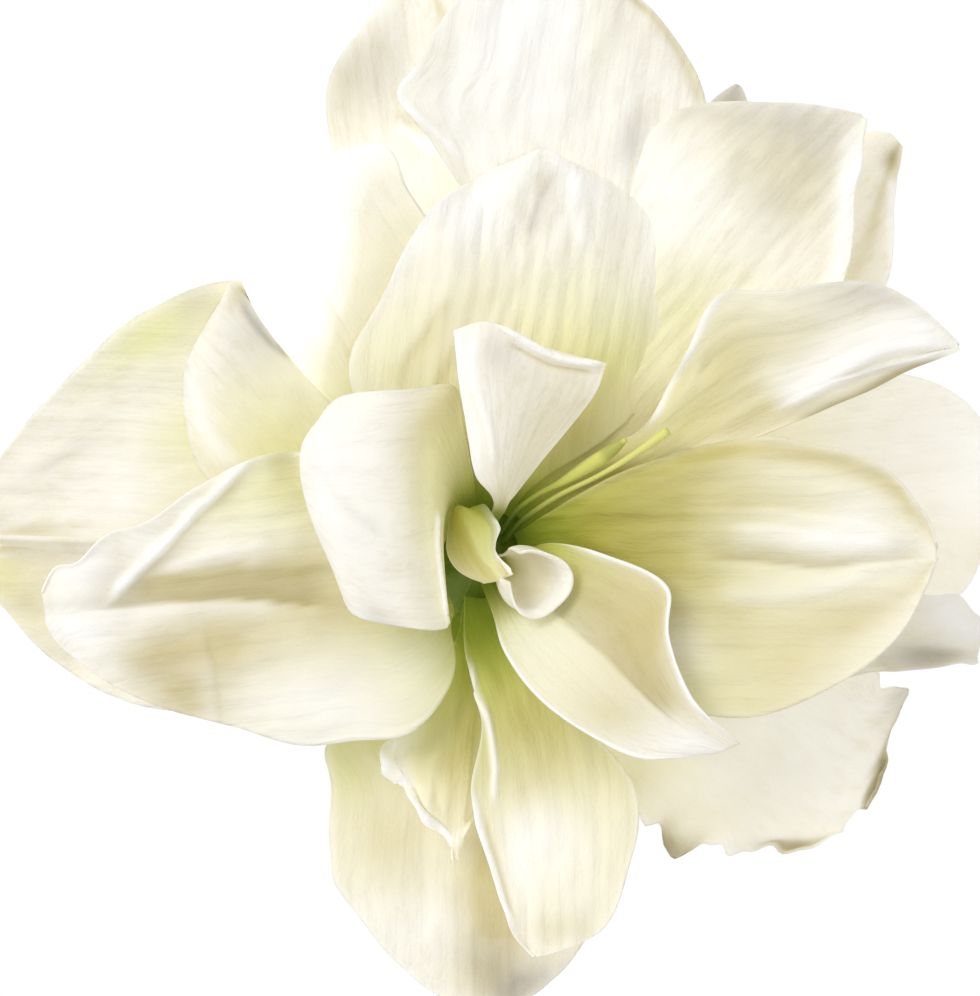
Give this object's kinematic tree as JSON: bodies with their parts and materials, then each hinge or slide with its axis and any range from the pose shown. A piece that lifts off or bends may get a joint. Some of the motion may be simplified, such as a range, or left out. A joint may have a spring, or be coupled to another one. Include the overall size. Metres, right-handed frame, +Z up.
{
  "type": "potted amaryllis",
  "caption": "Double white amaryllis flower on a bare stalk with strap leaves, its bulb half out of the soil in a plain clay pot.",
  "frame": {"origin": "middle of the flat underside of the pot", "axes": "+Z up through the bulb and the stalk, -Y the way the open flower looks, +X to the right as the flower is looked at"},
  "size_m": [0.3146, 0.2611, 0.5294],
  "materials": {
    "petal": "satin",
    "flower_tube": "satin",
    "filament": "satin",
    "stem": "satin",
    "leaf": "satin",
    "bud_skin": "satin",
    "spathe": "matte",
    "bulb": "satin",
    "tunic": "matte",
    "root": "matte",
    "potting_mix": "matte",
    "terracotta": "matte"
  },
  "bodies": {
    "root": {"petal_back_top_left": "petal", "petal_back_top_right": "petal", "petal_back_right": "petal", "petal_back_lower_right": "petal", "petal_back_bottom": "petal", "petal_back_lower_left": "petal", "petal_back_left": "petal", "petal_back_upper_right": "petal", "petal_mid_right": "petal", "petal_mid_upper_left": "petal", "petal_mid_top": "petal", "petal_mid_bottom": "petal", "petal_mid_upper_right": "petal", "petal_mid_top_left": "petal", "petal_front_left": "petal", "petal_front_top": "petal", "petal_front_bottom": "petal", "petal_front_upper_right": "petal", "petal_front_right": "petal", "petal_inner_left": "petal", "petal_inner_lower_right": "petal", "petal_inner_top": "petal", "petaloid_right": "petal", "petaloid_left": "petal", "perianth_tube": "flower_tube", "style": "filament", "stamen": "filament", "scape": "stem", "ovary_and_pedicel": "stem", "bud_right_pedicel": "stem", "bud_right": "bud_skin", "bud_left_pedicel": "stem", "bud_left": "bud_skin", "spathe_valve_right": "spathe", "spathe_valve_left": "spathe", "leaf_right": "leaf", "leaf_back": "leaf", "leaf_left": "leaf", "leaf_front": "leaf", "bulb": "bulb", "basal_roots": "root", "tunic_scale_1": "tunic", "tunic_scale_2": "tunic", "tunic_scale_3": "tunic", "pot": "terracotta", "potting_mix": "potting_mix"}
  },
  "joints": []
}
